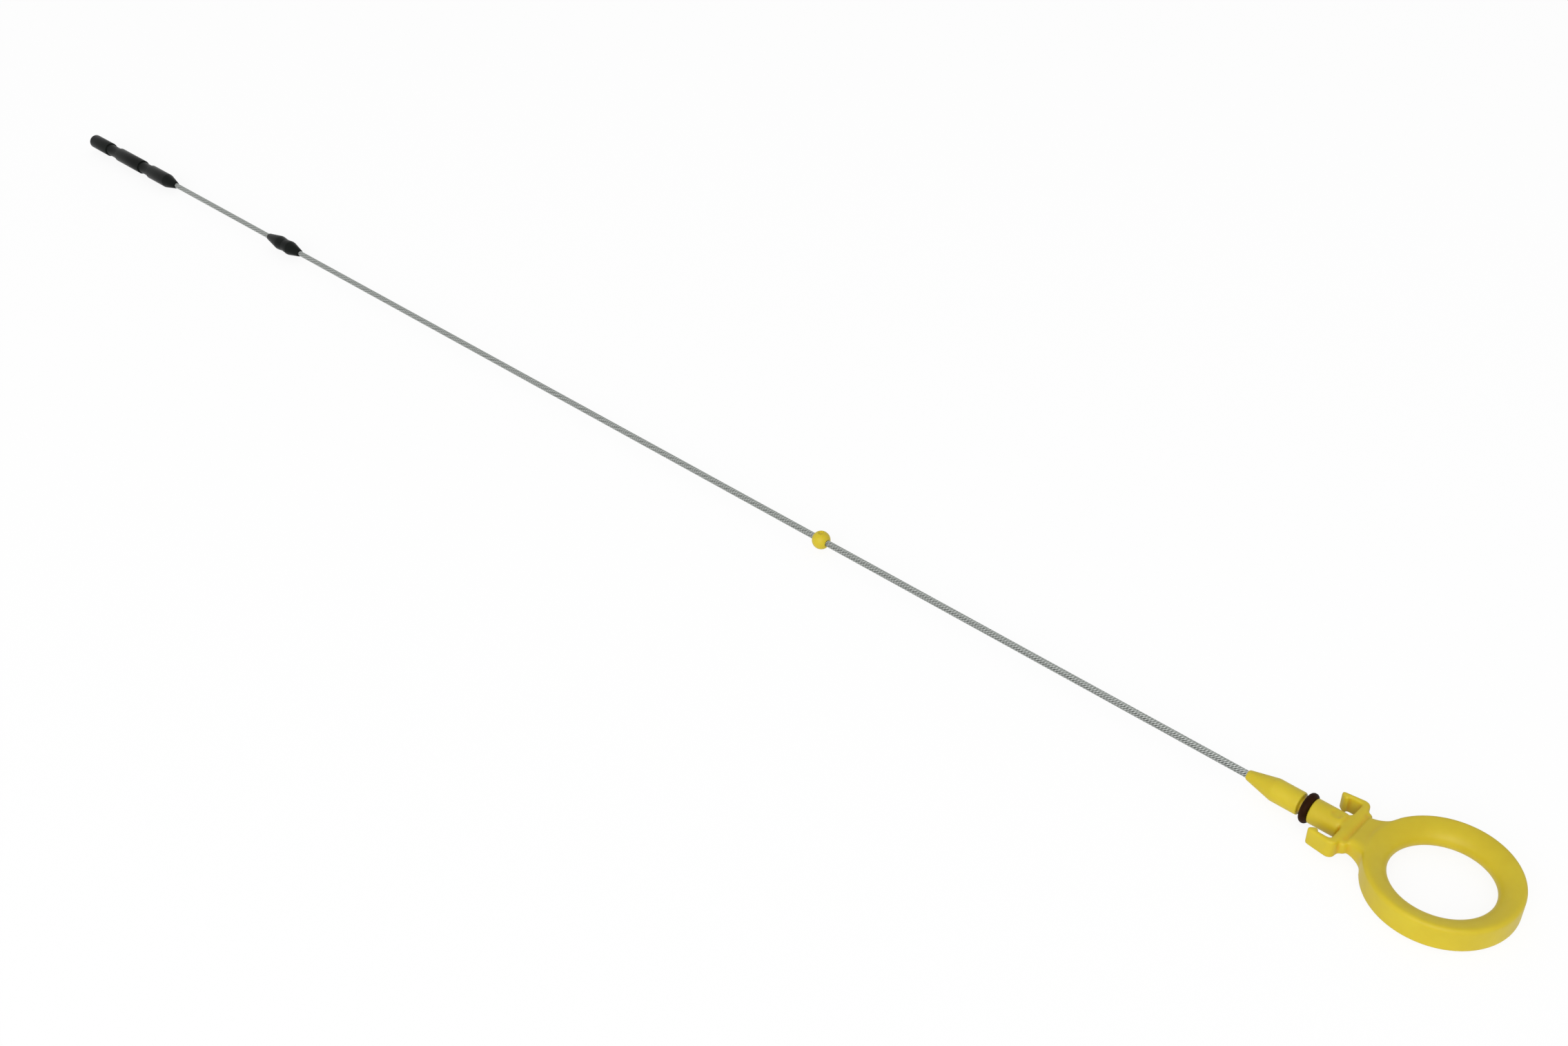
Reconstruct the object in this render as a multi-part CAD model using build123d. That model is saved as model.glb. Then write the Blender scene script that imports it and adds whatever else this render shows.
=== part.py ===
from build123d import *
import os

# Oil dipstick: a moulded finger-ring handle with a snap clip and a sealed plug, a steel
# strand, a bead and a guide threaded on the strand, and a moulded gauge tip.
#
# Millimetres. The origin is on the strand's axis, in the clip's front face, where the mouth
# of the dipstick tube seats. +X runs along the strand to the gauge tip, and the finger ring
# lies flat in the XY plane with +Z up.

# Finger ring: a revolved D section, with an upright outer wall and a half ellipse to the hole
ring_outside_d = 40.5
ring_hole_d = 27.4
ring_height = 8.0
ring_edge_r = 1.1

# Neck that sweeps out from the clip into the ring and rises with it. The sweep ends neck_bite
# inside the ring's outer wall and the slab neck_root_depth further in, so the two run together.
neck_length = 5.15
neck_width = 12.5
neck_clip_height = 5.0
neck_ring_height = 7.6
neck_sweep_r = 6.5
neck_bite = 0.3
neck_root_depth = 1.65
neck_edge_r = 1.7

# Shoulder between the neck and the clip
shoulder_width = 15.4
shoulder_height = 4.8
shoulder_thickness = 1.9
shoulder_corner_r = 1.2
shoulder_edge_chamfer = 0.5

# Snap clip: a bar across the axis and two arms that hook under the tube's rim
bar_thickness = 2.1
clip_height = 6.0
arm_gap = 16.9
arm_reach = 7.25
arm_root_thickness = 1.85
arm_tip_thickness = 0.95
hook_depth = 0.9
hook_length = 3.4
hook_land = 1.1
clip_corner_r = 2.0
clip_inside_r = 0.8
clip_gusset_r = 2.4
clip_tip_r = 0.6
clip_edge_chamfer = 0.45

# Stem, seal groove, plug and lead-in cone, turned about the axis in front of the clip
stem_d = 7.4
stem_length = 9.7
stem_root_d = 5.0
stem_root_taper = 1.1
groove_width = 3.3
plug_d = 6.8
plug_length = 8.25
plug_shoulder_r = 0.8
cone_length = 8.55
cone_tip_d = 2.9
rim_chamfer = 0.2

# Round recesses that the mould's support pins leave above and below the strand
pin_mark_d = 3.5
pin_mark_depth = 0.5
pin_mark_from_bar = 2.9

# Seal ring, seated at the back of its groove
seal_outside_d = 9.0
seal_section_d = 2.3
seal_clearance = 0.02

# Steel strand
strand_d = 2.2
strand_free_length = 568.8
strand_in_handle = 27.0
strand_in_tip = 60.0

# Bead on the strand, placed from the cone's tip
bead_d = 6.2
bead_from_cone = 160.9
bead_mark_d = 1.8
bead_mark_depth = 0.6

# Guide on the strand, placed from the gauge tip: two ridges with a V waist between them
guide_ridge_d = 6.0
guide_waist_d = 5.3
guide_end_d = 2.9
guide_ridge_width = 0.9
guide_ridge_spacing = 7.4
guide_near_taper = 7.4
guide_far_taper = 8.8
guide_to_tip = 78.4

# Gauge tip: three lands with two waists between them, which show the oil's high and low marks
tip_d = 6.3
tip_waist_d = 5.2
tip_entry_d = 2.9
tip_entry_length = 7.4
tip_entry_r = 3.0
tip_near_land = 14.6
tip_low_waist = 8.0
tip_middle_land = 21.2
tip_high_waist = 9.0
tip_end_land = 16.4
tip_end_chamfer = 1.4
tip_step_chamfer = 0.3

# Places along the axis, worked out from the sizes above
ring_setback = bar_thickness + neck_length + ring_outside_d / 2
groove_x = stem_length
plug_x = groove_x + groove_width
cone_x = plug_x + plug_length
cone_tip_x = cone_x + cone_length
tip_x = cone_tip_x + strand_free_length
strand_x = cone_tip_x - strand_in_handle
strand_length = strand_in_handle + strand_free_length + strand_in_tip
bead_x = cone_tip_x + bead_from_cone
guide_length = guide_near_taper + guide_ridge_spacing + guide_far_taper
guide_x = tip_x - guide_to_tip - guide_length
seal_ring_r = (seal_outside_d - seal_section_d) / 2
groove_floor_d = seal_outside_d - 2 * seal_section_d - 2 * seal_clearance
seal_x = groove_x + seal_section_d / 2 + seal_clearance


def corner(shape, x, y):
    """The vertex of a flat shape that lies nearest to x, y."""
    return shape.vertices().sort_by_distance((x, y, 0))[0]


def turned(points, rounds=(), chamfers=()):
    """A solid turned about the X axis.

    points are x and radius pairs of the outline, closed along the axis. rounds and chamfers
    are x, radius and size triples for the outline's corners at those places.
    """
    closed = [(points[0][0], 0), *points, (points[-1][0], 0)]
    face = make_face(Polyline(*closed, close=True))
    for x, radius, size in rounds:
        face = fillet(corner(face, x, radius), size)
    for x, radius, size in chamfers:
        face = chamfer(corner(face, x, radius), size)
    return revolve(face, Axis.X)


def strand_bore(x, length):
    """The round space that the strand fills from x onwards."""
    return Pos(x, 0, 0) * Rot(0, 90, 0) * Cylinder(
        strand_d / 2, length, align=(Align.CENTER, Align.CENTER, Align.MIN)
    )


def finger_ring():
    """The ring, revolved from half an ellipse whose flat side is the outer wall."""
    wall = (ring_outside_d - ring_hole_d) / 2
    section = Ellipse(wall, ring_height / 2) & Pos(-wall / 2, 0) * Rectangle(wall, ring_height)
    for side in (1, -1):
        section = fillet(corner(section, 0, side * ring_height / 2), ring_edge_r)
    section = Plane.XZ * Pos(ring_outside_d / 2, 0) * section
    return Pos(-ring_setback, 0, 0) * revolve(section, Axis.Z)


def neck():
    """The slab that sweeps from the clip's bar into the ring's outer wall."""
    ring_r = ring_outside_d / 2 - neck_bite
    root_r = ring_r - neck_root_depth
    sweep_y = neck_width / 2 + neck_sweep_r
    sweep_x = ((ring_r + neck_sweep_r) ** 2 - sweep_y**2) ** 0.5
    tangent_x = sweep_x * ring_r / (ring_r + neck_sweep_r)
    meets_x = (ring_r**2 - (neck_width / 2) ** 2) ** 0.5 - ring_setback
    length = ring_setback - bar_thickness
    at_ring = Pos(-ring_setback, 0)
    plan = at_ring * Pos(length / 2, 0) * Rectangle(length, neck_width)
    plan += at_ring * Circle(ring_r)
    for side in (1, -1):
        plan = fillet(corner(plan, meets_x, side * neck_width / 2), neck_sweep_r)
    plan -= at_ring * Circle(root_r)
    plan &= at_ring * Pos(tangent_x + length / 2, 0) * Rectangle(length, ring_outside_d)
    rise = (neck_ring_height - neck_clip_height) / 2 / (root_r - length)
    ring_z = neck_clip_height / 2 + rise * -length
    side_view = [(-bar_thickness, neck_clip_height / 2), (-ring_setback, ring_z)]
    profile = make_face(Polyline(*side_view, *((x, -z) for x, z in reversed(side_view)), close=True))
    slab = extrude(plan, neck_ring_height, both=True)
    slab &= extrude(Plane.XZ * profile, ring_outside_d, both=True)
    flats = slab.faces().sort_by(Axis.Z)
    outline = [edge for flat in (flats[0], flats[-1]) for edge in flat.edges()]
    swept = [edge for edge in outline if edge.center().X > tangent_x - ring_setback + neck_edge_r / 2]
    rims = [edge for edge in swept if abs(edge.center().Y) > neck_width / 4]
    return fillet(rims, neck_edge_r)


def shoulder():
    """The block behind the clip's bar, with its back corners rounded in plan."""
    plan = Pos(-bar_thickness - shoulder_thickness / 2, 0) * Rectangle(shoulder_thickness, shoulder_width)
    for side in (1, -1):
        back = corner(plan, -bar_thickness - shoulder_thickness, side * shoulder_width / 2)
        plan = fillet(back, shoulder_corner_r)
    block = extrude(plan, shoulder_height / 2, both=True)
    return chamfer(block.faces().filter_by(Axis.Z).edges(), shoulder_edge_chamfer)


def clip():
    """The bar and both hooked arms, as one plan extruded to the clip's height."""
    gap = arm_gap / 2
    root = gap + arm_root_thickness
    tip = gap + arm_tip_thickness
    hook = gap - hook_depth
    catch_x = arm_reach - hook_length
    stub = (stem_d**2 - clip_height**2) ** 0.5 / 2 - clip_edge_chamfer
    half = [
        (-bar_thickness, root),
        (0, root),
        (arm_reach, tip),
        (catch_x + hook_land, hook),
        (catch_x, hook),
        (catch_x, gap),
        (0, gap),
        (0, stub),
        (clip_gusset_r + clip_tip_r, stub),
    ]
    mirrored = [(x, -y) for x, y in reversed(half)]
    plan = make_face(Polyline(*half, *mirrored, close=True))
    for side in (1, -1):
        plan = fillet(corner(plan, -bar_thickness, side * root), clip_corner_r)
        plan = fillet(corner(plan, 0, side * gap), clip_inside_r)
        plan = fillet(corner(plan, 0, side * stub), clip_gusset_r)
        plan = fillet(corner(plan, arm_reach, side * tip), clip_tip_r)
        plan = fillet(corner(plan, catch_x + hook_land, side * hook), clip_tip_r)
    body = extrude(plan, clip_height / 2, both=True)
    return chamfer(body.faces().filter_by(Axis.Z).edges(), clip_edge_chamfer)


def stem_and_plug():
    """The turned stem with its seal groove, the plug and the cone that the strand leaves."""
    return turned(
        [
            (-bar_thickness / 2, stem_root_d / 2),
            (0, stem_root_d / 2),
            (stem_root_taper, stem_d / 2),
            (groove_x, stem_d / 2),
            (groove_x, groove_floor_d / 2),
            (plug_x, groove_floor_d / 2),
            (plug_x, plug_d / 2),
            (cone_x, plug_d / 2),
            (cone_tip_x, cone_tip_d / 2),
        ],
        [(cone_x, plug_d / 2, plug_shoulder_r)],
        [
            (groove_x, stem_d / 2, rim_chamfer),
            (plug_x, plug_d / 2, rim_chamfer),
            (cone_tip_x, cone_tip_d / 2, rim_chamfer),
        ],
    )


def pin_marks():
    """The two round recesses in the stem, above and below the strand."""
    mark = Cylinder(pin_mark_d / 2, 2 * pin_mark_depth)
    return [Pos(pin_mark_from_bar, 0, side * stem_d / 2) * mark for side in (1, -1)]


def handle():
    """Ring, neck, clip and plug, moulded in one piece round the strand's end."""
    body = stem_and_plug() + clip() + shoulder() + neck() + finger_ring()
    return body - pin_marks() - strand_bore(strand_x, strand_in_handle)


def seal_ring():
    """The rubber ring in the plug's groove."""
    return Pos(seal_x, 0, 0) * Rot(0, 90, 0) * Torus(seal_ring_r, seal_section_d / 2)


def strand():
    """The steel strand, from inside the handle to inside the gauge tip."""
    return strand_bore(strand_x, strand_length)


def bead():
    """The round bead that the strand passes through, with its support pins' marks."""
    ball = Pos(bead_x, 0, 0) * Sphere(bead_d / 2)
    mark = Cylinder(bead_mark_d / 2, 2 * bead_mark_depth)
    marks = [Pos(bead_x, 0, side * bead_d / 2) * mark for side in (1, -1)]
    return ball - marks - strand_bore(bead_x - bead_d, 2 * bead_d)


def guide():
    """The double-coned guide with its two ridges."""
    near_ridge = guide_x + guide_near_taper
    far_ridge = near_ridge + guide_ridge_spacing
    ridge_half = guide_ridge_width / 2
    crests = [
        (ridge + side * ridge_half, guide_ridge_d / 2) for ridge in (near_ridge, far_ridge) for side in (-1, 1)
    ]
    body = turned(
        [
            (guide_x, guide_end_d / 2),
            *crests[:2],
            (near_ridge + guide_ridge_spacing / 2, guide_waist_d / 2),
            *crests[2:],
            (guide_x + guide_length, guide_end_d / 2),
        ]
    )
    return body - strand_bore(guide_x, guide_length)


def gauge_tip():
    """The tip that is read for the oil's level, moulded on the strand's end."""
    land_r = tip_d / 2
    waist_r = tip_waist_d / 2
    near_x = tip_x + tip_entry_length
    low_x = near_x + tip_near_land
    middle_x = low_x + tip_low_waist
    high_x = middle_x + tip_middle_land
    last_x = high_x + tip_high_waist
    end_x = last_x + tip_end_land
    steps = [low_x, middle_x, high_x, last_x]
    body = turned(
        [
            (tip_x, tip_entry_d / 2),
            (near_x, land_r),
            (low_x, land_r),
            (low_x, waist_r),
            (middle_x, waist_r),
            (middle_x, land_r),
            (high_x, land_r),
            (high_x, waist_r),
            (last_x, waist_r),
            (last_x, land_r),
            (end_x - tip_end_chamfer, land_r),
            (end_x, land_r - tip_end_chamfer),
        ],
        [(near_x, land_r, tip_entry_r)],
        [(x, land_r, tip_step_chamfer) for x in steps],
    )
    return body - strand_bore(tip_x, strand_in_tip)


os.makedirs("parts", exist_ok=True)
export_step(handle(), "parts/handle.step")
export_step(seal_ring(), "parts/seal_ring.step")
export_step(strand(), "parts/strand.step")
export_step(bead(), "parts/bead.step")
export_step(guide(), "parts/guide.step")
export_step(gauge_tip(), "parts/gauge_tip.step")
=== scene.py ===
import logging
import math
from dataclasses import dataclass
from enum import Enum
from typing import Sequence

import bmesh
import bpy
from mathutils import Matrix, Vector


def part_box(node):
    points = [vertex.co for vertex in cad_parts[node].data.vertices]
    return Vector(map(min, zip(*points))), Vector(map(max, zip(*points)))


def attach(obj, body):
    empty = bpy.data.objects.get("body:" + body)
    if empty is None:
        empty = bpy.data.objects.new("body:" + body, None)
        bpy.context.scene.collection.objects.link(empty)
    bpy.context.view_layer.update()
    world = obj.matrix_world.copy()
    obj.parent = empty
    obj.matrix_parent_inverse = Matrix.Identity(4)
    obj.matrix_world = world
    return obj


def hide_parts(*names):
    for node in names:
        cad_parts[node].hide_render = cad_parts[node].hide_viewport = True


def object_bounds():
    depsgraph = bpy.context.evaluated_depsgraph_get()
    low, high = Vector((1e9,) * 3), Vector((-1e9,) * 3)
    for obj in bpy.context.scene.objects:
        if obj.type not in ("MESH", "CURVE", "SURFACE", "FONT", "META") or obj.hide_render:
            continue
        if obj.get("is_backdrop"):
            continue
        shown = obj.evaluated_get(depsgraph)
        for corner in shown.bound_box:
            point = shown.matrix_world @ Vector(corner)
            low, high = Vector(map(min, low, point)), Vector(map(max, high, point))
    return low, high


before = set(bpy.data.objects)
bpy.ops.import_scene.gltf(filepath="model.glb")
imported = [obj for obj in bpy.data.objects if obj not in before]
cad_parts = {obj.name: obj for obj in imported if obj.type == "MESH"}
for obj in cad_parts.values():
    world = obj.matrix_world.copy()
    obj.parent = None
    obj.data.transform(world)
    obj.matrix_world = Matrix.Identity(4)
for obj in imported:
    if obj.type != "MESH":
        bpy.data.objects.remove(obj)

# Oil dipstick on a white table: a yellow finger-ring handle with a sealed plug, a laid steel
# strand with a bead and a guide on it, and a black gauge tip. Lengths are in metres.

log = logging.getLogger("dipstick")

MM = 0.001
BODY = "root"
CREASE_SHADE = "crease_shade"
SAME_POINT = 1e-7
NO_LENGTH = 1e-12
IN_PLACE = (0.0, 0.0, 0.0)
X_AXIS = (1.0, 0.0, 0.0)
WHITE = (1.0, 1.0, 1.0)

Colour = tuple[float, float, float]
Outline = Sequence[tuple[float, float]]


class Slot(Enum):
    """The record's material slots that the pieces take their finishes from."""

    YELLOW_NYLON = "yellow_nylon"
    BLACK_NYLON = "black_nylon"
    SEAL_RUBBER = "seal_rubber"
    STEEL_STRAND = "steel_strand"


class Lay(Enum):
    """The way that the strand's wires turn as they run towards the gauge tip."""

    LEFT_HAND = -1
    RIGHT_HAND = 1


def rgba(colour: Colour) -> tuple[float, float, float, float]:
    """A linear colour with full opacity."""
    return (*colour, 1.0)


def node_span(node: str) -> tuple[float, float]:
    """Where a CAD node starts and ends along the strand's axis.

    Args:
        node: the node's name.

    Returns:
        The lowest and the highest x of the node.
    """
    low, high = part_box(node)
    return low.x, high.x


def link_piece(name: str, shape: bmesh.types.BMesh) -> bpy.types.Object:
    """Make a smooth-shaded object of a finished bmesh and free the bmesh.

    Args:
        name: the new object's name.
        shape: the finished mesh.

    Returns:
        The object, linked to the scene at the origin.
    """
    mesh = bpy.data.meshes.new(name)
    shape.to_mesh(mesh)
    shape.free()
    mesh.shade_smooth()
    piece = bpy.data.objects.new(name, mesh)
    bpy.context.scene.collection.objects.link(piece)
    return piece


def fit_piece(piece: bpy.types.Object, node: str, finish: bpy.types.Material) -> None:
    """Let a dressed piece stand for its CAD node.

    Args:
        piece: the dressed piece.
        node: the CAD node that it stands for.
        finish: its material.
    """
    piece.data.materials.clear()
    piece.data.materials.append(finish)
    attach(piece, BODY)
    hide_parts(node)
    log.info("%s: %d faces", piece.name, len(piece.data.polygons))


def even_skin(node: str, name: str, voxel: float, weld: float = 0.002 * MM) -> bpy.types.Object:
    """Copy a CAD solid's skin as one even mesh of small squares.

    Args:
        node: the CAD node.
        name: the new object's name.
        voxel: the size of the squares.
        weld: how near two corners of the solid's skin lie to be one.

    Returns:
        The new object.
    """
    shape = bmesh.new()
    shape.from_mesh(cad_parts[node].data)
    bmesh.ops.remove_doubles(shape, verts=shape.verts[:], dist=weld)
    rough = link_piece(name + "_rough", shape)
    remesh = rough.modifiers.new("even", "REMESH")
    remesh.mode = "VOXEL"
    remesh.voxel_size = voxel
    graph = bpy.context.evaluated_depsgraph_get()
    mesh = bpy.data.meshes.new_from_object(rough.evaluated_get(graph))
    mesh.name = name
    bpy.data.objects.remove(rough)
    piece = bpy.data.objects.new(name, mesh)
    bpy.context.scene.collection.objects.link(piece)
    return piece


def soften(shape: bmesh.types.BMesh, verts: list[bmesh.types.BMVert], passes: int) -> None:
    """Round part of a skin off.

    Args:
        shape: the skin.
        verts: the points that move.
        passes: how many times each moves half-way to the middle of its neighbours.
    """
    for _ in range(passes):
        bmesh.ops.smooth_vert(
            shape, verts=verts, factor=0.5, use_axis_x=True, use_axis_y=True, use_axis_z=True
        )


def spin_outline(outline: Outline, steps: int, soften: float, sharp_deg: float = 12.0) -> bmesh.types.BMesh:
    """Turn a closed outline about the X axis and soften the rims it leaves.

    Args:
        outline: x and radius pairs, which close from the last to the first.
        steps: how many faces go round the axis.
        soften: the width of the rounding on each rim.
        sharp_deg: the turn from face to face above which a rim is rounded.

    Returns:
        The turned mesh, closed and with its faces outwards.
    """
    shape = bmesh.new()
    corners = [shape.verts.new((x, 0.0, radius)) for x, radius in outline]
    for here, there in zip(corners, corners[1:] + corners[:1]):
        shape.edges.new((here, there))
    bmesh.ops.spin(
        shape,
        geom=shape.verts[:] + shape.edges[:],
        cent=IN_PLACE,
        axis=X_AXIS,
        dvec=IN_PLACE,
        angle=math.tau,
        steps=steps,
        use_merge=True,
    )
    bmesh.ops.remove_doubles(shape, verts=shape.verts[:], dist=SAME_POINT)
    bmesh.ops.dissolve_degenerate(shape, edges=shape.edges[:], dist=SAME_POINT / 10)
    bmesh.ops.recalc_face_normals(shape, faces=shape.faces[:])
    limit = math.radians(sharp_deg)
    rims = []
    for edge in shape.edges:
        start, end = edge.verts
        level = abs(start.co.x - end.co.x) < SAME_POINT
        if level and edge.is_manifold and edge.calc_face_angle() > limit:
            rims.append(edge)
    bmesh.ops.bevel(
        shape,
        geom=rims,
        offset=soften,
        offset_type="OFFSET",
        affect="EDGES",
        segments=3,
        profile=0.5,
        clamp_overlap=True,
        material=-1,
    )
    bmesh.ops.recalc_face_normals(shape, faces=shape.faces[:])
    return shape


@dataclass(frozen=True)
class SkinGroup:
    """The shared node group of moulded and wiped skins: a cloudy tone and a fine grain."""

    name: str = "moulded_skin"
    cloud_detail: float = 3.0
    cloud_roughness: float = 0.55
    cloud_range: tuple[float, float] = (0.3, 0.7)
    grain_detail: float = 5.0
    grain_roughness: float = 0.7

    def build(self) -> bpy.types.ShaderNodeTree:
        """Make the group once.

        Returns:
            The group, with a vector and two scales in, and a tone and a grain out.
        """
        tree = bpy.data.node_groups.get(self.name)
        if tree:
            return tree
        tree = bpy.data.node_groups.new(self.name, "ShaderNodeTree")
        tree.interface.new_socket("Vector", in_out="INPUT", socket_type="NodeSocketVector")
        tree.interface.new_socket("Cloud Scale", in_out="INPUT", socket_type="NodeSocketFloat")
        tree.interface.new_socket("Grain Scale", in_out="INPUT", socket_type="NodeSocketFloat")
        tree.interface.new_socket("Tone", in_out="OUTPUT", socket_type="NodeSocketFloat")
        tree.interface.new_socket("Grain", in_out="OUTPUT", socket_type="NodeSocketFloat")
        nodes, links = tree.nodes, tree.links
        enter = nodes.new("NodeGroupInput")
        leave = nodes.new("NodeGroupOutput")
        cloud = nodes.new("ShaderNodeTexNoise")
        cloud.inputs["Detail"].default_value = self.cloud_detail
        cloud.inputs["Roughness"].default_value = self.cloud_roughness
        tone = nodes.new("ShaderNodeMapRange")
        tone.inputs["From Min"].default_value = self.cloud_range[0]
        tone.inputs["From Max"].default_value = self.cloud_range[1]
        grain = nodes.new("ShaderNodeTexNoise")
        grain.inputs["Detail"].default_value = self.grain_detail
        grain.inputs["Roughness"].default_value = self.grain_roughness
        links.new(enter.outputs["Vector"], cloud.inputs["Vector"])
        links.new(enter.outputs["Cloud Scale"], cloud.inputs["Scale"])
        links.new(enter.outputs["Vector"], grain.inputs["Vector"])
        links.new(enter.outputs["Grain Scale"], grain.inputs["Scale"])
        links.new(cloud.outputs["Fac"], tone.inputs["Value"])
        links.new(tone.outputs["Result"], leave.inputs["Tone"])
        links.new(grain.outputs["Fac"], leave.inputs["Grain"])
        return tree


@dataclass(frozen=True)
class MouldedSkin:
    """A satin moulded skin, whose colour drifts a little over the part, with painted shade that deepens it in
    creases.
    """

    name: str
    light: Colour
    deep: Colour
    crease_shade: Colour
    crease_shade_share: float
    roughness: tuple[float, float]
    cloud_scale: float
    grain_scale: float
    grain_depth: float
    specular: float
    grain_strength: float = 0.35
    ior: float = 1.5
    subsurface: float = 0.0
    subsurface_reach: float = 1.5 * MM
    subsurface_tint: Colour = (1.0, 0.6, 0.12)

    def build(self) -> bpy.types.Material:
        """Make the material.

        Returns:
            The skin's material.
        """
        material = bpy.data.materials.new(self.name)
        material.use_nodes = True
        nodes, links = material.node_tree.nodes, material.node_tree.links
        shader = nodes["Principled BSDF"]
        place = nodes.new("ShaderNodeTexCoord")
        skin = nodes.new("ShaderNodeGroup")
        skin.node_tree = SkinGroup().build()
        skin.inputs["Cloud Scale"].default_value = self.cloud_scale
        skin.inputs["Grain Scale"].default_value = self.grain_scale
        links.new(place.outputs["Object"], skin.inputs["Vector"])

        drift = nodes.new("ShaderNodeMix")
        drift.data_type = "RGBA"
        drift.inputs["A"].default_value = rgba(self.deep)
        drift.inputs["B"].default_value = rgba(self.light)
        links.new(skin.outputs["Tone"], drift.inputs["Factor"])
        # Painted shade: where the skin is hollow, the colour is mixed towards a darker, more orange crease
        # colour.
        crease_shade_mask = nodes.new("ShaderNodeAttribute")
        crease_shade_mask.attribute_name = CREASE_SHADE
        share = nodes.new("ShaderNodeMath")
        share.operation = "MULTIPLY"
        share.inputs[1].default_value = self.crease_shade_share
        links.new(crease_shade_mask.outputs["Fac"], share.inputs[0])
        crease_shaded = nodes.new("ShaderNodeMix")
        crease_shaded.data_type = "RGBA"
        crease_shaded.inputs["B"].default_value = rgba(self.crease_shade)
        links.new(share.outputs["Value"], crease_shaded.inputs["Factor"])
        links.new(drift.outputs["Result"], crease_shaded.inputs["A"])
        links.new(crease_shaded.outputs["Result"], shader.inputs["Base Color"])

        gloss = nodes.new("ShaderNodeMapRange")
        gloss.inputs["To Min"].default_value = self.roughness[0]
        gloss.inputs["To Max"].default_value = self.roughness[1]
        links.new(skin.outputs["Grain"], gloss.inputs["Value"])
        links.new(gloss.outputs["Result"], shader.inputs["Roughness"])
        bump = nodes.new("ShaderNodeBump")
        bump.inputs["Strength"].default_value = self.grain_strength
        bump.inputs["Distance"].default_value = self.grain_depth
        links.new(skin.outputs["Grain"], bump.inputs["Height"])
        links.new(bump.outputs["Normal"], shader.inputs["Normal"])
        shader.inputs["IOR"].default_value = self.ior
        shader.inputs["Specular IOR Level"].default_value = self.specular
        shader.inputs["Subsurface Weight"].default_value = self.subsurface
        shader.inputs["Subsurface Radius"].default_value = self.subsurface_tint
        shader.inputs["Subsurface Scale"].default_value = self.subsurface_reach
        return material


@dataclass(frozen=True)
class DrawnSteel:
    """Bare drawn spring steel, with faint streaks and with painted shade that darkens the grooves between the
    wires.
    """

    name: str
    bright: Colour
    dull: Colour
    groove_shade: Colour
    groove_shade_r: tuple[float, float]
    roughness: tuple[float, float]
    streak_scale: float
    streak_depth: float
    streak_stretch: tuple[float, float, float] = (0.12, 1.0, 1.0)
    streak_detail: float = 4.0
    streak_strength: float = 0.3

    def build(self) -> bpy.types.Material:
        """Make the material.

        Returns:
            The steel's material.
        """
        material = bpy.data.materials.new(self.name)
        material.use_nodes = True
        nodes, links = material.node_tree.nodes, material.node_tree.links
        shader = nodes["Principled BSDF"]
        place = nodes.new("ShaderNodeTexCoord")
        stretch = nodes.new("ShaderNodeMapping")
        stretch.inputs["Scale"].default_value = self.streak_stretch
        streak = nodes.new("ShaderNodeTexNoise")
        streak.inputs["Scale"].default_value = self.streak_scale
        streak.inputs["Detail"].default_value = self.streak_detail
        tint = nodes.new("ShaderNodeMix")
        tint.data_type = "RGBA"
        tint.inputs["A"].default_value = rgba(self.dull)
        tint.inputs["B"].default_value = rgba(self.bright)
        gloss = nodes.new("ShaderNodeMapRange")
        gloss.inputs["To Min"].default_value = self.roughness[0]
        gloss.inputs["To Max"].default_value = self.roughness[1]
        bump = nodes.new("ShaderNodeBump")
        bump.inputs["Strength"].default_value = self.streak_strength
        bump.inputs["Distance"].default_value = self.streak_depth
        links.new(place.outputs["Object"], stretch.inputs["Vector"])
        links.new(stretch.outputs["Vector"], streak.inputs["Vector"])
        links.new(streak.outputs["Fac"], tint.inputs["Factor"])
        # Painted shade: below a radius from the axis, in the grooves between the wires, the colour turns
        # dark.
        across = nodes.new("ShaderNodeVectorMath")
        across.operation = "MULTIPLY"
        across.inputs[1].default_value = (0.0, 1.0, 1.0)
        radius = nodes.new("ShaderNodeVectorMath")
        radius.operation = "LENGTH"
        height = nodes.new("ShaderNodeMapRange")
        height.inputs["From Min"].default_value = self.groove_shade_r[0]
        height.inputs["From Max"].default_value = self.groove_shade_r[1]
        groove_shaded = nodes.new("ShaderNodeMix")
        groove_shaded.data_type = "RGBA"
        groove_shaded.inputs["A"].default_value = rgba(self.groove_shade)
        links.new(place.outputs["Object"], across.inputs[0])
        links.new(across.outputs["Vector"], radius.inputs[0])
        links.new(radius.outputs["Value"], height.inputs["Value"])
        links.new(height.outputs["Result"], groove_shaded.inputs["Factor"])
        links.new(tint.outputs["Result"], groove_shaded.inputs["B"])
        links.new(groove_shaded.outputs["Result"], shader.inputs["Base Color"])
        links.new(streak.outputs["Fac"], gloss.inputs["Value"])
        links.new(gloss.outputs["Result"], shader.inputs["Roughness"])
        links.new(streak.outputs["Fac"], bump.inputs["Height"])
        links.new(bump.outputs["Normal"], shader.inputs["Normal"])
        shader.inputs["Metallic"].default_value = 1.0
        return material


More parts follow.
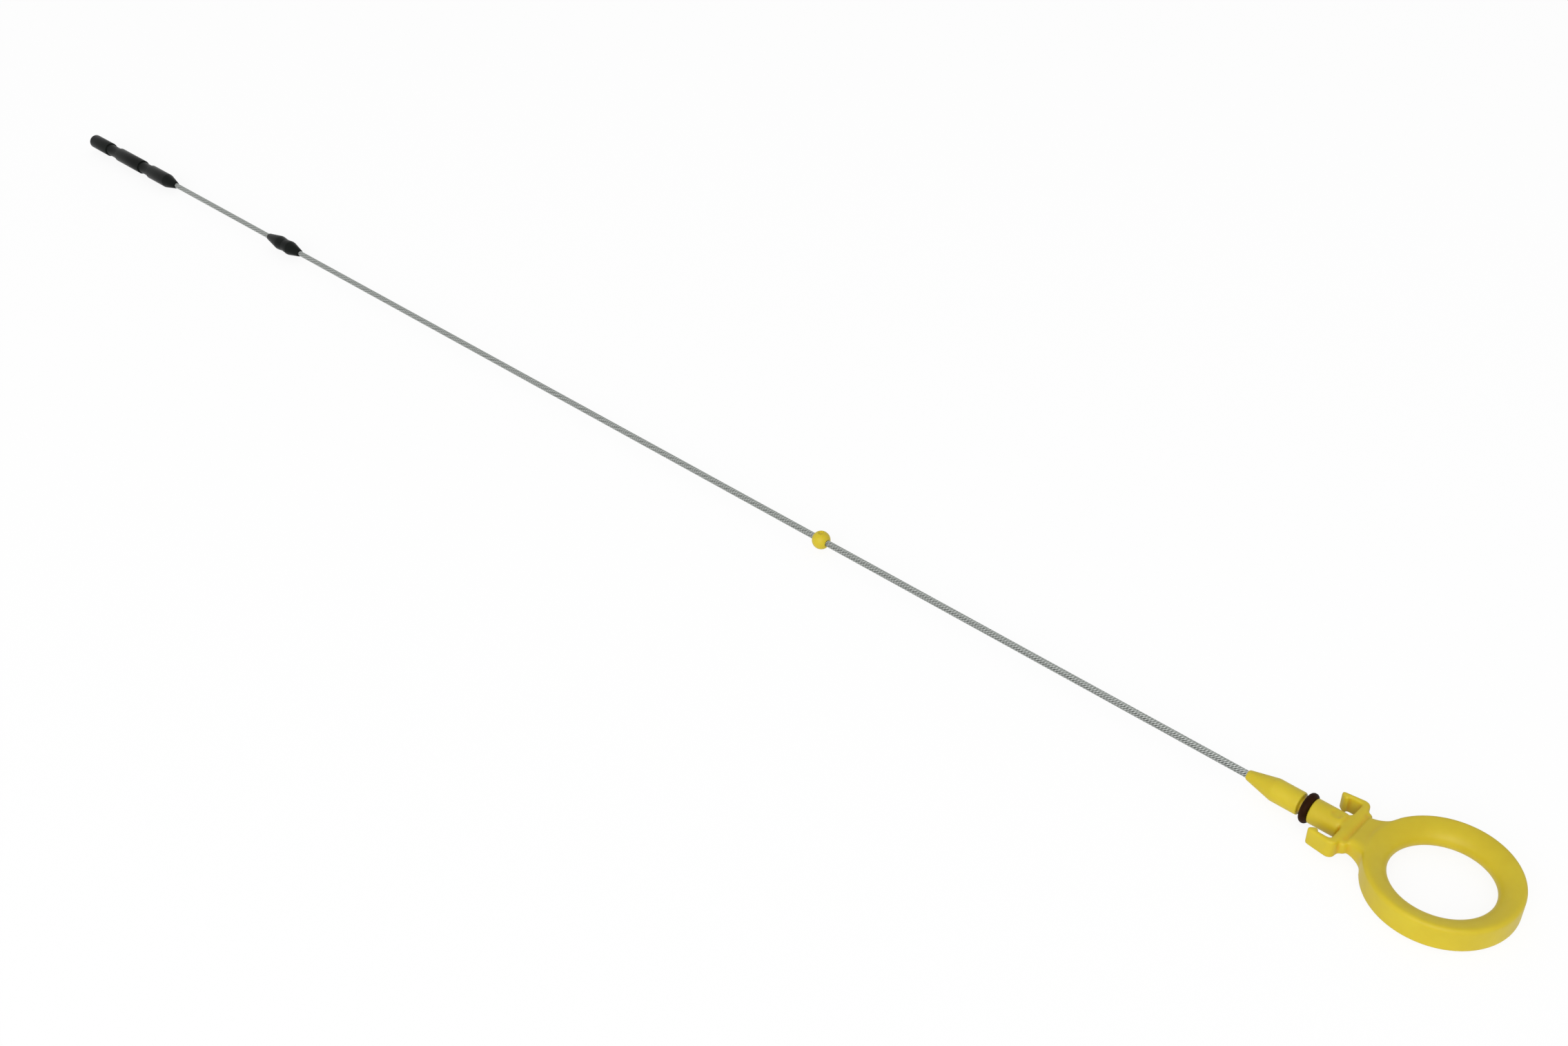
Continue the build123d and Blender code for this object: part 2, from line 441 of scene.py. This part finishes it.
@dataclass(frozen=True)
class Floor:
    """The plain white table, seen nearly white by the camera and with a soft shadow."""

    name: str = "white_table"
    half_width: float = 40.0
    colour: Colour = (0.95, 0.95, 0.95)
    shadow_share: float = 0.15
    glow: float = 1.04

    def build(self, height: float) -> bpy.types.Object:
        """Lay the table.

        Args:
            height: the z that the dipstick lies on.

        Returns:
            The table's object, marked as the stage.
        """
        shape = bmesh.new()
        bmesh.ops.create_grid(shape, x_segments=1, y_segments=1, size=self.half_width)
        bmesh.ops.translate(shape, verts=shape.verts[:], vec=(0.0, 0.0, height))
        table = link_piece(self.name, shape)
        table.data.materials.append(self.paint())
        table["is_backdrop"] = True
        return table

    def paint(self) -> bpy.types.Material:
        """Make the table's material.

        Returns:
            A matt white that keeps a share of the shadow in the camera's view.
        """
        material = bpy.data.materials.new(self.name)
        material.use_nodes = True
        nodes, links = material.node_tree.nodes, material.node_tree.links
        nodes.remove(nodes["Principled BSDF"])
        matt = nodes.new("ShaderNodeBsdfDiffuse")
        matt.inputs["Color"].default_value = rgba(self.colour)
        white = nodes.new("ShaderNodeEmission")
        white.inputs["Color"].default_value = rgba(WHITE)
        white.inputs["Strength"].default_value = self.glow
        rays = nodes.new("ShaderNodeLightPath")
        seen = nodes.new("ShaderNodeMath")
        seen.operation = "MAXIMUM"
        share = nodes.new("ShaderNodeMath")
        share.operation = "MULTIPLY"
        share.inputs[1].default_value = 1.0 - self.shadow_share
        mix = nodes.new("ShaderNodeMixShader")
        links.new(rays.outputs["Is Camera Ray"], seen.inputs[0])
        links.new(rays.outputs["Is Glossy Ray"], seen.inputs[1])
        links.new(seen.outputs["Value"], share.inputs[0])
        links.new(share.outputs["Value"], mix.inputs["Fac"])
        links.new(matt.outputs["BSDF"], mix.inputs[1])
        links.new(white.outputs["Emission"], mix.inputs[2])
        links.new(mix.outputs["Shader"], nodes["Material Output"].inputs["Surface"])
        return material


@dataclass(frozen=True)
class Studio:
    """Soft light from a wide lamp at the viewer's side and a pale room."""

    room: float = 0.54
    lamp_power: float = 31.0
    lamp_size: float = 2.0
    lamp_place: tuple[float, float, float] = (-0.7, 1.9, 1.25)
    aim: tuple[float, float, float] = (0.15, 0.0, 0.0)

    def build(self) -> None:
        """Light the room and hang the lamp."""
        world = bpy.data.worlds.new("pale_room")
        bpy.context.scene.world = world
        world.use_nodes = True
        nodes, links = world.node_tree.nodes, world.node_tree.links
        room = nodes["Background"]
        room.inputs["Color"].default_value = rgba(WHITE)
        room.inputs["Strength"].default_value = self.room
        white = nodes.new("ShaderNodeBackground")
        white.inputs["Color"].default_value = rgba(WHITE)
        rays = nodes.new("ShaderNodeLightPath")
        seen = nodes.new("ShaderNodeMath")
        seen.operation = "MAXIMUM"
        through = nodes.new("ShaderNodeMath")
        through.operation = "MAXIMUM"
        mix = nodes.new("ShaderNodeMixShader")
        links.new(rays.outputs["Is Camera Ray"], seen.inputs[0])
        links.new(rays.outputs["Is Glossy Ray"], seen.inputs[1])
        links.new(seen.outputs["Value"], through.inputs[0])
        links.new(rays.outputs["Is Transmission Ray"], through.inputs[1])
        links.new(through.outputs["Value"], mix.inputs["Fac"])
        links.new(room.outputs["Background"], mix.inputs[1])
        links.new(white.outputs["Background"], mix.inputs[2])
        links.new(mix.outputs["Shader"], nodes["World Output"].inputs["Surface"])
        lamp = bpy.data.lights.new("side_lamp", "AREA")
        lamp.energy = self.lamp_power
        lamp.size = self.lamp_size
        hung = bpy.data.objects.new("side_lamp", lamp)
        hung.location = self.lamp_place
        hung.rotation_mode = "QUATERNION"
        hung.rotation_quaternion = (Vector(self.aim) - Vector(self.lamp_place)).to_track_quat("-Z", "Y")
        bpy.context.scene.collection.objects.link(hung)


@dataclass(frozen=True)
class Viewpoint:
    """The camera, fitted to the photograph's perspective of the dipstick."""

    place: tuple[float, float, float] = (-124.5 * MM, 335.6 * MM, 338.8 * MM)
    heading_deg: float = -135.29
    pitch_deg: float = 35.774
    roll_deg: float = -1.193
    lens: float = 39.916

    def build(self) -> bpy.types.Object:
        """Stand the camera and make it the scene's own.

        Returns:
            The camera's object.
        """
        data = bpy.data.cameras.new("viewpoint")
        data.lens = self.lens
        data.clip_start = 0.01
        camera = bpy.data.objects.new("viewpoint", data)
        turn = Matrix.Rotation(math.radians(self.heading_deg), 4, "Z")
        tilt = Matrix.Rotation(math.radians(90.0 - self.pitch_deg), 4, "X")
        roll = Matrix.Rotation(math.radians(self.roll_deg), 4, "Z")
        camera.matrix_world = Matrix.Translation(self.place) @ turn @ tilt @ roll
        bpy.context.scene.collection.objects.link(camera)
        bpy.context.scene.camera = camera
        return camera


@dataclass(frozen=True)
class SoftZone:
    """A box of the handle's skin that the mould leaves rounder than the rest.

    The box lies on both sides of the XY and XZ planes, and holds the same y and z on each.
    """

    x: tuple[float, float]
    y: tuple[float, float]
    z: tuple[float, float]
    passes: int

    def holds(self, point: Vector) -> bool:
        """Tell whether a point of the skin lies in the zone."""
        sides = ((point.x, self.x), (abs(point.y), self.y), (abs(point.z), self.z))
        return all(low <= value <= high for value, (low, high) in sides)


NECK_BLEND = SoftZone((-12.0 * MM, -2.5 * MM), (0.0, 9.6 * MM), (0.0, 5.0 * MM), 16)
ARM_BLEND = SoftZone((-2.5 * MM, 8.0 * MM), (5.2 * MM, 11.0 * MM), (0.0, 5.0 * MM), 5)
BAR_BLEND = SoftZone((-2.5 * MM, 0.2 * MM), (0.0, 9.0 * MM), (2.0 * MM, 4.0 * MM), 4)
PIN_BLEND = SoftZone((0.6 * MM, 5.4 * MM), (0.0, 2.6 * MM), (2.4 * MM, 4.0 * MM), 3)


@dataclass(frozen=True)
class Valley:
    """The shallow valley that the mould leaves across the neck, behind the clip's bar."""

    middle: float = -3.2 * MM
    half_width: float = 1.2 * MM
    half_length: float = 8.5 * MM
    depth: float = 0.45 * MM
    lowest: float = 1.6 * MM

    def press(self, shape: bmesh.types.BMesh) -> None:
        """Press the valley into both faces of the neck.

        Args:
            shape: the handle's skin.
        """
        for vert in shape.verts:
            across = abs(vert.co.x - self.middle) / self.half_width
            along = abs(vert.co.y) / self.half_length
            if across < 1.0 and along < 1.0 and abs(vert.co.z) > self.lowest:
                share = math.cos(across * math.pi / 2) ** 2 * (1.0 - along**4)
                vert.co.z -= math.copysign(self.depth * share, vert.co.z)


@dataclass
class Handle:
    """The handle's moulding, with its edges and creases softened as a mould leaves them."""

    node: str = "handle"
    voxel: float = 0.24 * MM
    smooth_passes: int = 4
    soft_zones: tuple[SoftZone, ...] = (NECK_BLEND, ARM_BLEND, BAR_BLEND, PIN_BLEND)
    valley: Valley = Valley()
    # How the hollowness that the painted crease shade follows is spread, and how hollow a point is to take
    # that shade fully.
    crease_shade_passes: int = 10
    crease_shade_full: float = 500.0

    def build(self) -> bpy.types.Object:
        """Copy the CAD solid's skin, remesh it evenly and soften it.

        Returns:
            The handle's object.
        """
        piece = even_skin(self.node, "handle_moulding", self.voxel)
        shape = bmesh.new()
        shape.from_mesh(piece.data)
        soften(shape, shape.verts[:], self.smooth_passes)
        for zone in self.soft_zones:
            soften(shape, [vert for vert in shape.verts if zone.holds(vert.co)], zone.passes)
        self.valley.press(shape)
        shape.normal_update()
        self.mark_crease_shade(shape)
        shape.to_mesh(piece.data)
        shape.free()
        piece.data.shade_smooth()
        return piece

    def mark_crease_shade(self, shape: bmesh.types.BMesh) -> None:
        """Store how hollow the skin is at each point, from which the finish paints shade into the creases.

        Args:
            shape: the softened skin.
        """
        layer = shape.verts.layers.float.new(CREASE_SHADE)
        hollow = {}
        for vert in shape.verts:
            bends = []
            for edge in vert.link_edges:
                step = edge.other_vert(vert).co - vert.co
                bends.append(vert.normal.dot(step) / max(step.length_squared, NO_LENGTH))
            hollow[vert] = sum(bends) / len(bends)
        for _ in range(self.crease_shade_passes):
            hollow = {
                vert: 0.5 * value
                + 0.5 * sum(hollow[edge.other_vert(vert)] for edge in vert.link_edges) / len(vert.link_edges)
                for vert, value in hollow.items()
            }
        for vert, value in hollow.items():
            vert[layer] = min(max(value / self.crease_shade_full, 0.0), 1.0)

    def dress(self, piece: bpy.types.Object, finish: bpy.types.Material) -> None:
        """Give the moulding its yellow nylon."""
        fit_piece(piece, self.node, finish)


@dataclass
class SealRing:
    """The rubber ring in the plug's groove, with the faint line where its mould parts."""

    node: str = "seal_ring"
    section_d: float = 2.3 * MM
    steps_round: int = 96
    steps_section: int = 32
    parting_depth: float = 0.02 * MM
    parting_share: float = 0.05

    def build(self) -> bpy.types.Object:
        """Spin a round section about the axis.

        Returns:
            The ring's object.
        """
        low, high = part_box(self.node)
        middle = (low.x + high.x) / 2
        centre_r = high.z - self.section_d / 2
        shape = bmesh.new()
        bmesh.ops.create_circle(shape, cap_ends=False, segments=self.steps_section, radius=self.section_d / 2)
        bmesh.ops.rotate(
            shape, verts=shape.verts[:], cent=IN_PLACE, matrix=Matrix.Rotation(math.pi / 2, 3, "X")
        )
        bmesh.ops.translate(shape, verts=shape.verts[:], vec=(middle, 0.0, centre_r))
        for vert in shape.verts:
            if abs(vert.co.x - middle) < self.parting_share * self.section_d:
                vert.co.z -= math.copysign(self.parting_depth, vert.co.z - centre_r)
        bmesh.ops.spin(
            shape,
            geom=shape.verts[:] + shape.edges[:],
            cent=IN_PLACE,
            axis=X_AXIS,
            dvec=IN_PLACE,
            angle=math.tau,
            steps=self.steps_round,
            use_merge=True,
        )
        bmesh.ops.remove_doubles(shape, verts=shape.verts[:], dist=SAME_POINT)
        bmesh.ops.recalc_face_normals(shape, faces=shape.faces[:])
        return link_piece("seal_ring_rubber", shape)

    def dress(self, piece: bpy.types.Object, finish: bpy.types.Material) -> None:
        """Give the ring its dark rubber."""
        fit_piece(piece, self.node, finish)


@dataclass
class Strand:
    """The laid steel strand: round wires that wind about a straight core."""

    node: str = "strand"
    wires: int = 12
    wire_d: float = 0.46 * MM
    lay_length: float = 18.0 * MM
    lay: Lay = Lay.LEFT_HAND
    steps_per_turn: int = 18
    steps_section: int = 8
    steps_core: int = 24

    def build(self) -> bpy.types.Object:
        """Wind every wire from the handle to the gauge tip.

        Returns:
            The strand's object.
        """
        low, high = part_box(self.node)
        outside_r = high.z
        start, end = low.x, high.x
        wind_r = outside_r - self.wire_d / 2
        turns = (end - start) / self.lay_length
        steps = round(turns * self.steps_per_turn)
        pitch = (end - start) / steps
        slope = math.atan2(math.tau * wind_r, self.lay_length)
        shape = bmesh.new()
        bmesh.ops.create_circle(shape, cap_ends=False, segments=self.steps_section, radius=self.wire_d / 2)
        ring = shape.verts[:]
        bmesh.ops.rotate(shape, verts=ring, cent=IN_PLACE, matrix=Matrix.Rotation(math.pi / 2, 3, "Y"))
        bmesh.ops.scale(shape, verts=ring, vec=(1.0, 1.0 / math.cos(slope), 1.0))
        bmesh.ops.translate(shape, verts=ring, vec=(start, 0.0, wind_r))
        bmesh.ops.spin(
            shape,
            geom=ring + shape.edges[:],
            cent=IN_PLACE,
            axis=X_AXIS,
            dvec=(pitch, 0.0, 0.0),
            angle=math.tau * turns * self.lay.value,
            steps=steps,
            use_merge=False,
        )
        bmesh.ops.spin(
            shape,
            geom=shape.verts[:] + shape.edges[:] + shape.faces[:],
            cent=IN_PLACE,
            axis=X_AXIS,
            dvec=IN_PLACE,
            angle=math.tau * (self.wires - 1) / self.wires,
            steps=self.wires - 1,
            use_merge=False,
            use_duplicate=True,
        )
        self.add_core(shape, start, end, wind_r)
        bmesh.ops.recalc_face_normals(shape, faces=shape.faces[:])
        return link_piece("strand_wires", shape)

    def add_core(self, shape: bmesh.types.BMesh, start: float, end: float, radius: float) -> None:
        """Fill the strand's middle, behind the wires.

        Args:
            shape: the strand's mesh.
            start: the core's lowest x.
            end: the core's highest x.
            radius: the core's radius.
        """
        made = bmesh.ops.create_cone(
            shape, cap_ends=True, segments=self.steps_core, radius1=radius, radius2=radius, depth=end - start
        )
        turn = Matrix.Rotation(math.pi / 2, 3, "Y")
        bmesh.ops.rotate(shape, verts=made["verts"], cent=IN_PLACE, matrix=turn)
        bmesh.ops.translate(shape, verts=made["verts"], vec=((start + end) / 2, 0.0, 0.0))

    def dress(self, piece: bpy.types.Object, finish: bpy.types.Material) -> None:
        """Give the wires their bare steel."""
        fit_piece(piece, self.node, finish)


@dataclass
class Bead:
    """The round bead on the strand, with the marks of the pins that held the strand."""

    node: str = "bead"
    voxel: float = 0.1 * MM
    smooth_passes: int = 8

    def build(self) -> bpy.types.Object:
        """Copy the CAD bead's skin, remesh it evenly and soften it.

        Returns:
            The bead's object.
        """
        piece = even_skin(self.node, "bead_moulding", self.voxel)
        shape = bmesh.new()
        shape.from_mesh(piece.data)
        soften(shape, shape.verts[:], self.smooth_passes)
        shape.to_mesh(piece.data)
        shape.free()
        piece.data.shade_smooth()
        return piece

    def dress(self, piece: bpy.types.Object, finish: bpy.types.Material) -> None:
        """Give the bead the handle's yellow nylon."""
        fit_piece(piece, self.node, finish)


@dataclass
class Guide:
    """The black guide on the strand: two cones with a pair of ridges between them."""

    node: str = "guide"
    ridge_r: float = 3.0 * MM
    waist_r: float = 2.65 * MM
    end_r: float = 1.45 * MM
    bore_r: float = 1.1 * MM
    ridge_width: float = 0.9 * MM
    ridge_spacing: float = 7.4 * MM
    near_taper: float = 7.4 * MM
    steps: int = 72
    soften: float = 0.25 * MM

    def build(self) -> bpy.types.Object:
        """Spin the guide's outline.

        Returns:
            The guide's object.
        """
        start, end = node_span(self.node)
        near = start + self.near_taper
        far = near + self.ridge_spacing
        half = self.ridge_width / 2
        outline = [
            (start, self.bore_r),
            (start, self.end_r),
            (near - half, self.ridge_r),
            (near + half, self.ridge_r),
            ((near + far) / 2, self.waist_r),
            (far - half, self.ridge_r),
            (far + half, self.ridge_r),
            (end, self.end_r),
            (end, self.bore_r),
        ]
        return link_piece("guide_moulding", spin_outline(outline, self.steps, self.soften))

    def dress(self, piece: bpy.types.Object, finish: bpy.types.Material) -> None:
        """Give the guide its black nylon."""
        fit_piece(piece, self.node, finish)


@dataclass
class GaugeTip:
    """The black tip that is read for the oil's level: three lands and two waists."""

    node: str = "gauge_tip"
    land_r: float = 3.15 * MM
    waist_r: float = 2.6 * MM
    entry_r: float = 1.45 * MM
    bore_r: float = 1.1 * MM
    entry_length: float = 7.4 * MM
    near_land: float = 14.6 * MM
    low_waist: float = 8.0 * MM
    middle_land: float = 21.2 * MM
    high_waist: float = 9.0 * MM
    bore_depth: float = 60.0 * MM
    end_chamfer: float = 1.4 * MM
    steps: int = 72
    soften: float = 0.3 * MM

    def build(self) -> bpy.types.Object:
        """Spin the tip's outline.

        Returns:
            The tip's object.
        """
        start, end = node_span(self.node)
        near = start + self.entry_length
        low = near + self.near_land
        middle = low + self.low_waist
        high = middle + self.middle_land
        last = high + self.high_waist
        outline = [
            (start + self.bore_depth, 0.0),
            (start + self.bore_depth, self.bore_r),
            (start, self.bore_r),
            (start, self.entry_r),
            (near, self.land_r),
            (low, self.land_r),
            (low, self.waist_r),
            (middle, self.waist_r),
            (middle, self.land_r),
            (high, self.land_r),
            (high, self.waist_r),
            (last, self.waist_r),
            (last, self.land_r),
            (end - self.end_chamfer, self.land_r),
            (end, self.land_r - self.end_chamfer),
            (end, 0.0),
        ]
        return link_piece("gauge_tip_moulding", spin_outline(outline, self.steps, self.soften))

    def dress(self, piece: bpy.types.Object, finish: bpy.types.Material) -> None:
        """Give the tip its black nylon."""
        fit_piece(piece, self.node, finish)


YELLOW_NYLON = MouldedSkin(
    name="yellow_nylon",
    light=(0.71, 0.56, 0.026),
    deep=(0.64, 0.49, 0.018),
    # painted shade: the creases are drawn darker and more orange than the skin
    crease_shade=(0.68, 0.35, 0.004),
    crease_shade_share=0.9,
    roughness=(0.38, 0.52),
    cloud_scale=90.0,
    grain_scale=2200.0,
    grain_depth=0.005 * MM,
    specular=0.35,
    subsurface=0.2,
)
BLACK_NYLON = MouldedSkin(
    name="black_nylon",
    light=(0.009, 0.011, 0.0095),
    deep=(0.004, 0.005, 0.0045),
    crease_shade=(0.004, 0.004, 0.004),
    crease_shade_share=0.0,
    roughness=(0.26, 0.4),
    cloud_scale=140.0,
    grain_scale=2600.0,
    grain_depth=0.005 * MM,
    specular=0.06,
)
SEAL_RUBBER = MouldedSkin(
    name="seal_rubber",
    light=(0.032, 0.0105, 0.003),
    deep=(0.018, 0.006, 0.002),
    crease_shade=(0.01, 0.005, 0.004),
    crease_shade_share=0.0,
    roughness=(0.42, 0.62),
    cloud_scale=500.0,
    grain_scale=5200.0,
    grain_depth=0.005 * MM,
    specular=0.04,
)
STEEL = DrawnSteel(
    name="steel_strand",
    bright=(0.86, 0.89, 0.86),
    dull=(0.68, 0.71, 0.68),
    # painted shade for the grooves between the wires
    groove_shade=(0.08, 0.09, 0.08),
    groove_shade_r=(1.02 * MM, 1.08 * MM),
    roughness=(0.24, 0.42),
    streak_scale=2600.0,
    streak_depth=0.01 * MM,
)


def main() -> None:
    """Set the stage below the CAD parts, then build the pieces in order and dress them."""
    logging.basicConfig(level=logging.INFO, format="%(name)s %(message)s")
    cad_low, cad_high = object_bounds()
    bpy.context.scene.view_settings.view_transform = "Standard"
    Viewpoint().build()
    Studio().build()
    Floor().build(cad_low.z)
    yellow = YELLOW_NYLON.build()
    black = BLACK_NYLON.build()
    assemblies = [
        (Handle(), yellow),
        (SealRing(), SEAL_RUBBER.build()),
        (Strand(), STEEL.build()),
        (Bead(), yellow),
        (Guide(), black),
        (GaugeTip(), black),
    ]
    for assembly, finish in assemblies:
        assembly.dress(assembly.build(), finish)


if __name__ == "__main__":
    main()
